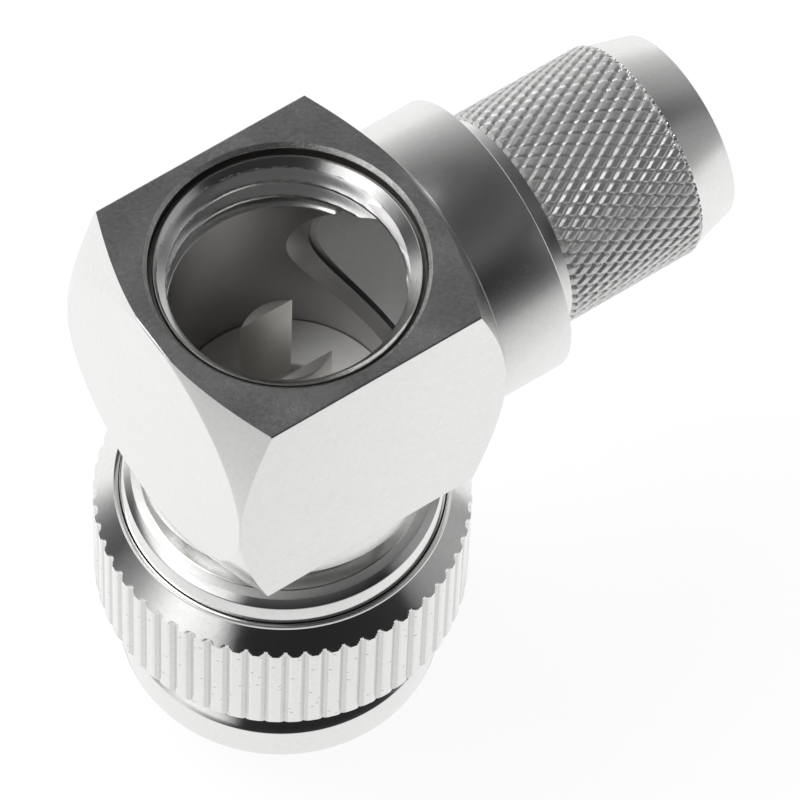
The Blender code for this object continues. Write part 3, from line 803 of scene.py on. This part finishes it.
class CONNECTOR_OT_nut(bpy.types.Operator):
    """Add the coupling nut with its straight knurl, smooth band and coupling thread"""

    bl_idname = "connector.nut"
    bl_label = "Coupling Nut"

    def execute(self, context):
        s = sizes(context.scene.plug_nut)
        # The ribs' lower ends are rounded over this height
        rounding = 0.16
        foot = s.knurl_bottom - rounding
        thread_low, thread_high = 0.3, s.thread_top + 0.01
        corners = [
            (s.thread_radius + 0.3, 0, 0.05),
            (s.band_radius, 0, 0.16),
            (s.band_radius, s.band_top, 0.06),
            (s.relief_radius, s.relief_bottom, 0.06),
            (s.relief_radius, s.relief_top, 0.06),
            (s.crest_radius, s.knurl_bottom, 0.15),
            (s.crest_radius, s.knurl_top),
            (s.land_radius, s.cone_top),
            (s.land_radius, s.top, 0.03),
            (s.rear_bore, s.top, 0.05),
            (s.rear_bore, s.ring_top),
            (s.ring_bore, s.ring_top),
            (s.ring_bore, s.ring_bottom),
            (s.rear_bore, s.ring_bottom),
            (s.rear_bore, s.rear_floor),
            (s.gasket_bore, s.rear_floor, 0.05),
            (s.gasket_bore, s.gasket_floor, 0.1),
            (s.thread_radius, s.thread_top),
            (s.thread_radius, thread_low + 0.05),
        ]
        rows = [
            (thread_low, thread_high, s.thread_pitch / 7),
            (foot, s.knurl_bottom + rounding, 0.05),
            (s.knurl_top, s.cone_top, 0.04),
        ]
        # Ten points round each rib
        bm = turn(corners, int(s.ribs) * 10, rows)

        def shaped(radius, angle, height):
            if radius > s.land_radius and height > foot:
                groove = max(0.0, 1 - wave(angle * s.ribs / (2 * math.pi) + 0.5) / 0.58)
                return min(radius, s.crest_radius - s.rib_depth * groove)
            if radius < s.thread_radius + NEAR and thread_low < height < thread_high:
                fade = smooth((height - thread_low) / 0.5) * smooth((thread_high - height) / 0.5)
                swing = 2 * wave(height / s.thread_pitch - angle / (2 * math.pi)) - 1
                return radius + s.thread_depth / 2 * fade * swing
            return radius

        reshape(bm, shaped)
        bm.normal_update()

        def in_groove(centre, normal):
            from_axis = math.hypot(centre.x, centre.y)
            between_ribs = s.land_radius < from_axis < s.crest_radius - 0.3 * s.rib_depth
            on_ribs = s.knurl_bottom - 0.1 < centre.z < s.knurl_top
            return between_ribs and on_ribs and abs(normal.z) < 0.3

        finish = context.scene.plug_finish
        # Polished nickel, the brightest finish here: clear reflections, with pits where the plate missed
        nickel = plated_metal("polished_nickel_plate", finish.nickel, 0.13, 0.04, (0.3, 0.0012), pitted=True)
        # The polishing wheel doesn't reach between the ribs: a softer sheen in each groove, and a greyer
        # stripe there that is painted shade between the ribs
        groove = plated_metal("knurl_groove_plate_painted_shade", finish.groove, 0.22, 0.04, (0.2, 0.002), mottle=0.06)
        finish_piece("nut_piece", bm, nickel, "nut", "coupling_nut", ((groove, in_groove),))
        return {"FINISHED"}


class CONNECTOR_OT_shell(bpy.types.Operator):
    """Add the front shell: neck, flange, and the contact sleeve inside the nut"""

    bl_idname = "connector.shell"
    bl_label = "Front Shell"

    def execute(self, context):
        s = sizes(context.scene.plug_shell)
        corners = [
            (s.neck_radius, s.neck_top),
            (s.neck_radius, s.flange_top, 0.2),
            # A fine scored line parts the polished face from the matte band
            (s.face_radius - 0.03, s.flange_top),
            (s.face_radius, s.flange_top - 0.03),
            (s.face_radius + 0.03, s.flange_top),
            (s.rim_radius, s.flange_top - 0.09, 0.03),
            (s.flange_radius - 0.14, s.flange_top - 0.34, 0.05),
            (s.flange_radius, s.slope_bottom, 0.05),
            (s.flange_radius, s.groove_top, 0.05),
            (s.groove_radius, s.groove_top),
            (s.groove_radius, s.groove_bottom),
            (s.flange_radius, s.groove_bottom, 0.05),
            (s.flange_radius, s.flange_bottom, 0.15),
            (s.sleeve_radius, s.flange_bottom, 0.1),
            (s.sleeve_radius, s.sleeve_end, 0.3),
            (s.sleeve_bore, s.sleeve_end, 0.15),
            (s.sleeve_bore, s.dielectric_floor),
            (s.dielectric_bore, s.dielectric_floor),
            (s.dielectric_bore, s.neck_top),
        ]
        bm = turn(corners, 256)
        bm.normal_update()

        def on_rim(centre, normal):
            from_axis = math.hypot(centre.x, centre.y)
            return s.face_radius + 0.03 < from_axis < s.rim_radius + 0.02 and normal.z > 0.8

        finish = context.scene.plug_finish
        # Polished nickel on the flange and the sleeve: clear dark and bright bands
        nickel = plated_metal("shell_nickel_plate", finish.nickel, 0.14, 0.03, (0.3, 0.0012))
        # The band round the face keeps its turning marks under the plate: an even pale ring
        rim = plated_metal("turned_rim_plate", finish.nickel, 0.45, 0.05, (0.08, 0.002))
        finish_piece("shell_piece", bm, nickel, "plug", "front_shell", ((rim, on_rim),))
        return {"FINISHED"}


class CONNECTOR_OT_ring_and_gasket(bpy.types.Operator):
    """Add the snap ring that holds the nut, and the gasket that seals against the mating jack"""

    bl_idname = "connector.ring_and_gasket"
    bl_label = "Snap Ring and Gasket"

    def execute(self, context):
        s = sizes(context.scene.plug_ring_and_gasket)
        finish = context.scene.plug_finish
        ring = turn(
            [
                (s.ring_inner, s.ring_bottom, 0.05),
                (s.ring_outer, s.ring_bottom, 0.05),
                (s.ring_outer, s.ring_top, 0.05),
                (s.ring_inner, s.ring_top, 0.05),
            ],
            192,
        )
        half_gap = s.ring_gap / 2
        split = box(
            (0, -half_gap, s.ring_bottom - BEYOND), (s.ring_outer + BEYOND, half_gap, s.ring_top + BEYOND)
        )
        # Bare phosphor bronze wire, coiled and ground flat: a warm sheen across fine rings
        lines = ("Z", 0.05, 0.0005)
        bronze = plated_metal("phosphor_bronze", finish.bronze, 0.32, 0.05, (0.15, 0.001), lines)
        finish_piece("snap_ring_piece", carve(ring, split), bronze, "plug", "snap_ring")

        gasket = turn(
            [
                (s.gasket_inner, s.gasket_bottom, 0.25),
                (s.gasket_outer, s.gasket_bottom, 0.25),
                (s.gasket_outer, s.gasket_top, 0.1),
                (s.gasket_inner, s.gasket_top, 0.1),
            ],
            192,
        )
        # Moulded silicone rubber: deep red, with a dull bloom instead of a highlight
        rubber = dull_polymer("moulded_silicone", finish.gasket, 0.5, (0.4, 0.004))
        finish_piece("gasket_piece", gasket, rubber, "plug", "gasket")
        return {"FINISHED"}


class CONNECTOR_OT_contact(bpy.types.Operator):
    """Add the white insulator and the centre contact with its slotted soldering cup"""

    bl_idname = "connector.contact"
    bl_label = "Insulator and Contact"

    def execute(self, context):
        s = sizes(context.scene.plug_contact)
        finish = context.scene.plug_finish
        insulator = turn(
            [
                (s.insulator_bore, s.insulator_bottom, 0.05),
                (s.front_radius, s.insulator_bottom, 0.08),
                (s.front_radius, s.barrel_bottom),
                (s.barrel_radius, s.barrel_bottom),
                (s.barrel_radius, s.flange_bottom),
                (s.flange_radius, s.flange_bottom),
                (s.flange_radius, s.insulator_top, 0.04),
                (s.well_radius, s.insulator_top, 0.1),
                (s.well_radius, s.well_floor),
                (s.insulator_bore, s.well_floor),
            ],
            192,
        )
        # Turned fluoropolymer: milky white, waxy, with a broad weak sheen
        white = dull_polymer("turned_fluoropolymer", finish.insulator, 0.42, (0.5, 0.004))
        finish_piece("insulator_piece", insulator, white, "plug", "insulator")

        contact = turn(
            [
                (0, s.pin_end),
                (0.3, s.pin_end, 0.12),
                (0.55, s.pin_end + 0.4, 0.1),
                (s.pin_radius, s.pin_end + 1.0, 0.1),
                (s.pin_radius, s.insulator_bottom),
                (s.shank_radius, s.insulator_bottom + 0.25),
                (s.shank_radius, s.cup_bottom),
                (s.cup_radius, s.cup_bottom),
                (s.cup_radius, s.cup_top, 0.08),
                (0, s.cup_top),
            ],
            128,
        )
        across = s.cup_radius + BEYOND
        half_slot = s.slot_width / 2
        slot = box((-across, -half_slot, s.slot_floor), (across, half_slot, s.cup_top + BEYOND))
        # Silver plate dulled by handling: warm soft greys with blurred reflections
        plate = plated_metal("silver_plate", finish.contact, 0.36, 0.05, (0.25, 0.0008))
        finish_piece("contact_piece", carve(contact, slot), plate, "plug", "centre_contact")
        return {"FINISHED"}


# Studio

# (height as the sine of its angle, light) of the white sweep behind the plug
SWEEP_LIGHT = ((0.0, 0.82), (0.29, 0.54), (0.5, 0.35), (0.67, 0.22), (0.79, 0.13), (0.86, 0.11), (1.0, 0.045))
# (height, light) of the dim room above and on the camera's side
ROOM_LIGHT = (
    (0.0, 0.2), (0.07, 0.17), (0.2, 0.06), (0.41, 0.025), (0.52, 0.018), (0.66, 0.055), (0.78, 0.112),
    (1.0, 0.045),
)
# (bearing in degrees, light) of the windows and dark furniture round the room
SIDE_LIGHT = (
    (-180, 0.8), (-171, 0.55), (-164, 0.28), (-156, 0.08), (-149, 0.0), (-60, 0.0), (-54, 0.16), (-46, 0.26),
    (-30, 0.3), (-20, 0.26), (-10, 0.14), (5, 0.2), (30, 0.5), (98, 0.5), (103, 0.8), (113, 0.8), (119, 0.36),
    (125, 0.12), (131, 0.02), (142, 0.02), (148, 0.12), (154, 0.2), (161, 0.34), (168, 0.58), (174, 0.78),
    (180, 0.8),
)
# (bearing, light) and (height, share) of the skylight over the closed end
SKYLIGHT = ((-180, 0.95), (-158, 0.9), (-146, 0.0), (92, 0.0), (104, 0.9), (180, 0.95))
SKYLIGHT_HEIGHT = ((0.0, 0.0), (0.36, 0.0), (0.46, 1.0), (0.74, 1.0), (0.81, 0.0), (1.0, 0.0))
# (share of FLOOR_REACH towards the camera, light) of the floor as the metal mirrors it
FLOOR_LIGHT = ((0.0, 1.0), (0.033, 0.95), (0.067, 0.8), (0.133, 0.66), (0.267, 0.5), (0.5, 0.42), (1.0, 0.3))
FLOOR_REACH = 0.3
# Share of the floor's look that is its own light. The rest is paper, which takes the plug's shadow
FLOOR_GLOW = 0.94
# Level direction from the plug to the camera
TO_CAMERA = (-0.6, -0.8, 0.0)
# Lamps' places in metres. The ceiling lamp stands where neither the top face nor the collar mirrors it
SOFT_BOX_PLACE = (-0.15, 0.4, 0.78)
CEILING_LAMP_PLACE = (-0.33, 0.27, 0.85)
# How far the picture's centre lies right of the opening's centre, and above it
CAMERA_ASIDE_MM = (4.331, -4.964)


def set_stops(ramp, stops):
    """Gives a colour ramp its greys, each as (place, light)."""
    for element, (place, light) in zip(ramp.elements, (stops[0], stops[-1])):
        element.position = place
        element.color = (light, light, light, 1)
    for place, light in stops[1:-1]:
        ramp.elements.new(place).color = (light, light, light, 1)


def turned_stops(stops):
    """Stops whose places are bearings in degrees, with -180 at 0 and 180 at 1."""
    return [((bearing + 180) / 360, light) for bearing, light in stops]


class CONNECTOR_OT_studio(bpy.types.Operator):
    """Add the white floor, the light and the camera"""

    bl_idname = "connector.studio"
    bl_label = "Studio"

    def execute(self, context):
        scene = context.scene
        settings = scene.plug_studio
        scene.view_settings.view_transform = "Standard"
        self.add_floor(scene, settings)
        self.add_surroundings(scene)
        self.add_lamp(scene, "soft_box", SOFT_BOX_PLACE, settings.soft_size, settings.soft_power, False)
        self.add_lamp(
            scene, "ceiling_lamp", CEILING_LAMP_PLACE, settings.ceiling_size, settings.ceiling_power, True
        )
        self.add_camera(scene, settings)
        return {"FINISHED"}

    def add_floor(self, scene, settings):
        bm = bmesh.new()
        bmesh.ops.create_grid(bm, x_segments=1, y_segments=1, size=2.0)
        mesh = bpy.data.meshes.new("floor")
        bm.to_mesh(mesh)
        bm.free()
        mesh.materials.append(self.white_paper(settings))
        floor = bpy.data.objects.new("floor", mesh)
        scene.collection.objects.link(floor)

    @staticmethod
    def white_paper(settings):
        """Lit paper: white in the picture, and darker towards the camera where the metal mirrors it.

        From below the floor is clear, so that the nut's mouth can be looked into.
        """
        material = empty_material("white_paper")
        tree = material.node_tree
        paper = node(
            tree, "ShaderNodeBsdfPrincipled", None, {"Base Color": (*settings.floor, 1.0), "Roughness": 0.8}
        ).outputs["BSDF"]
        rays = node(tree, "ShaderNodeLightPath").outputs
        place = node(tree, "ShaderNodeTexCoord").outputs["Object"]
        nearer = node(
            tree, "ShaderNodeVectorMath", {"operation": "DOT_PRODUCT"}, {0: place, 1: TO_CAMERA}
        ).outputs["Value"]
        reach = node(
            tree, "ShaderNodeMapRange", None, {"Value": nearer, "From Min": 0.0, "From Max": FLOOR_REACH}
        ).outputs["Result"]
        mirrored = node(tree, "ShaderNodeValToRGB", None, {"Fac": reach})
        set_stops(mirrored.color_ramp, FLOOR_LIGHT)
        tone = node(
            tree, "ShaderNodeMix", {"data_type": "RGBA"},
            {0: rays["Is Camera Ray"], 6: mirrored.outputs["Color"], 7: (1, 1, 1, 1)},
        ).outputs[2]
        glow = node(tree, "ShaderNodeEmission", None, {"Color": tone, "Strength": 1.0}).outputs["Emission"]
        seen = node(
            tree, "ShaderNodeMath", {"operation": "MAXIMUM"},
            {0: rays["Is Camera Ray"], 1: rays["Is Glossy Ray"]},
        ).outputs["Value"]
        share = node(
            tree, "ShaderNodeMath", {"operation": "MULTIPLY"}, {0: seen, 1: FLOOR_GLOW}
        ).outputs["Value"]
        lit = node(tree, "ShaderNodeMixShader", None, {0: share, 1: paper, 2: glow}).outputs["Shader"]
        from_below = node(tree, "ShaderNodeNewGeometry").outputs["Backfacing"]
        clear = node(tree, "ShaderNodeBsdfTransparent").outputs["BSDF"]
        one_sided = node(tree, "ShaderNodeMixShader", None, {0: from_below, 1: lit, 2: clear})
        node(tree, "ShaderNodeOutputMaterial", None, {"Surface": one_sided.outputs["Shader"]})
        return material

    @staticmethod
    def add_surroundings(scene):
        """White sweep behind that darkens with height, and a dim room with windows on the camera's side."""
        world = bpy.data.worlds.new("studio_surroundings")
        world.use_nodes = True
        scene.world = world
        tree = world.node_tree
        tree.nodes.clear()
        direction = node(tree, "ShaderNodeTexCoord").outputs["Generated"]
        parts = node(tree, "ShaderNodeSeparateXYZ", None, {"Vector": direction}).outputs
        height = parts["Z"]
        turned = node(
            tree, "ShaderNodeMath", {"operation": "ARCTAN2"}, {0: parts["Y"], 1: parts["X"]}
        ).outputs["Value"]
        bearing = node(
            tree, "ShaderNodeMapRange", None, {"Value": turned, "From Min": -math.pi, "From Max": math.pi}
        ).outputs["Result"]
        light = {}
        for name, value, stops in (
            ("sweep", height, SWEEP_LIGHT),
            ("room", height, ROOM_LIGHT),
            ("windows", bearing, turned_stops(SIDE_LIGHT)),
            ("skylight", bearing, turned_stops(SKYLIGHT)),
            ("high up", height, SKYLIGHT_HEIGHT),
        ):
            ramp = node(tree, "ShaderNodeValToRGB", None, {"Fac": value})
            set_stops(ramp.color_ramp, stops)
            light[name] = ramp.outputs["Color"]
        # The windows end at about half the room's height
        low_down = node(
            tree, "ShaderNodeMapRange", {"interpolation_type": "SMOOTHSTEP"},
            {"Value": height, "From Min": 0.66, "From Max": 0.5},
        ).outputs["Result"]
        front = node(
            tree, "ShaderNodeMix", {"data_type": "RGBA", "blend_type": "ADD"},
            {0: low_down, 6: light["room"], 7: light["windows"]},
        ).outputs[2]
        skylight = node(
            tree, "ShaderNodeMix", {"data_type": "RGBA", "blend_type": "MULTIPLY"},
            {0: 1.0, 6: light["high up"], 7: light["skylight"]},
        ).outputs[2]
        front = node(
            tree, "ShaderNodeMix", {"data_type": "RGBA", "blend_type": "ADD"}, {0: 1.0, 6: front, 7: skylight}
        ).outputs[2]
        # The sweep takes over from the room on the side away from the camera
        nearer = node(
            tree, "ShaderNodeVectorMath", {"operation": "DOT_PRODUCT"}, {0: direction, 1: TO_CAMERA}
        ).outputs["Value"]
        share = node(
            tree, "ShaderNodeMapRange", {"interpolation_type": "SMOOTHSTEP"},
            {"Value": nearer, "From Min": -0.45, "From Max": -0.75},
        ).outputs["Result"]
        mixed = node(
            tree, "ShaderNodeMix", {"data_type": "RGBA"}, {0: share, 6: front, 7: light["sweep"]}
        ).outputs[2]
        around = node(tree, "ShaderNodeBackground", None, {"Color": mixed, "Strength": 1.0})
        white = node(tree, "ShaderNodeBackground", None, {"Color": (1, 1, 1, 1), "Strength": 1.0})
        seen = node(tree, "ShaderNodeLightPath").outputs["Is Camera Ray"]
        final = node(
            tree, "ShaderNodeMixShader", None,
            {0: seen, 1: around.outputs["Background"], 2: white.outputs["Background"]},
        )
        node(tree, "ShaderNodeOutputWorld", None, {"Surface": final.outputs["Shader"]})

    @staticmethod
    def add_lamp(scene, name, place, size, watts, mirrored):
        """A square lamp at a place in metres, facing the plug. Metal mirrors it only where that is wanted."""
        lamp = bpy.data.lights.new(name, "AREA")
        lamp.shape = "SQUARE"
        lamp.size = size
        lamp.energy = watts
        obj = bpy.data.objects.new(name, lamp)
        place = Vector(place)
        obj.matrix_world = Matrix.Translation(place) @ place.to_track_quat("Z", "Y").to_matrix().to_4x4()
        obj.visible_glossy = mirrored
        scene.collection.objects.link(obj)

    @staticmethod
    def add_camera(scene, settings):
        camera = bpy.data.cameras.new("camera")
        camera.lens = settings.lens
        camera.sensor_width = 36.0
        camera.clip_start = 0.01
        camera.clip_end = 50.0
        obj = bpy.data.objects.new("camera", camera)
        turned = (
            Matrix.Rotation(settings.azimuth, 4, "Z")
            @ Matrix.Rotation(math.pi / 2 - settings.elevation, 4, "X")
            @ Matrix.Rotation(settings.roll, 4, "Z")
        )
        # The opening's centre on the top face, as it was read from the photo
        aim = Vector((MATING_X - 0.19, 0, BLOCK_TOP)) * MM
        right, up = CAMERA_ASIDE_MM
        aside = Vector((right * MM, up * MM, settings.distance))
        obj.matrix_world = Matrix.Translation(aim + turned @ aside) @ turned
        scene.collection.objects.link(obj)
        scene.camera = obj


SETTINGS = {
    "plug_block": BlockSettings,
    "plug_stem": StemSettings,
    "plug_nut": NutSettings,
    "plug_shell": ShellSettings,
    "plug_ring_and_gasket": SealSettings,
    "plug_contact": ContactSettings,
    "plug_finish": FinishSettings,
    "plug_studio": StudioSettings,
}
OPERATORS = (
    CONNECTOR_OT_block,
    CONNECTOR_OT_stem,
    CONNECTOR_OT_nut,
    CONNECTOR_OT_shell,
    CONNECTOR_OT_ring_and_gasket,
    CONNECTOR_OT_contact,
    CONNECTOR_OT_studio,
)


class CONNECTOR_PT_plug(bpy.types.Panel):
    """Sizes, finishes and operators of the plug"""

    bl_label = "Right Angle Plug"
    bl_idname = "CONNECTOR_PT_plug"
    bl_space_type = "VIEW_3D"
    bl_region_type = "UI"
    bl_category = "Connector"

    def draw(self, context):
        for name in SETTINGS:
            settings = getattr(context.scene, name)
            column = self.layout.box().column(align=True)
            for key in settings.bl_rna.properties.keys():
                if key not in {"rna_type", "name"}:
                    column.prop(settings, key)
        for operator in OPERATORS:
            self.layout.operator(operator.bl_idname)


def register():
    for name, group in SETTINGS.items():
        bpy.utils.register_class(group)
        setattr(bpy.types.Scene, name, bpy.props.PointerProperty(type=group))
    for cls in (*OPERATORS, CONNECTOR_PT_plug):
        bpy.utils.register_class(cls)


def unregister():
    for cls in (CONNECTOR_PT_plug, *reversed(OPERATORS)):
        bpy.utils.unregister_class(cls)
    for name, group in SETTINGS.items():
        delattr(bpy.types.Scene, name)
        bpy.utils.unregister_class(group)


def main():
    register()
    bpy.ops.connector.block()
    bpy.ops.connector.stem()
    bpy.ops.connector.nut()
    bpy.ops.connector.shell()
    bpy.ops.connector.ring_and_gasket()
    bpy.ops.connector.contact()
    bpy.ops.connector.studio()


if __name__ == "__main__":
    main()
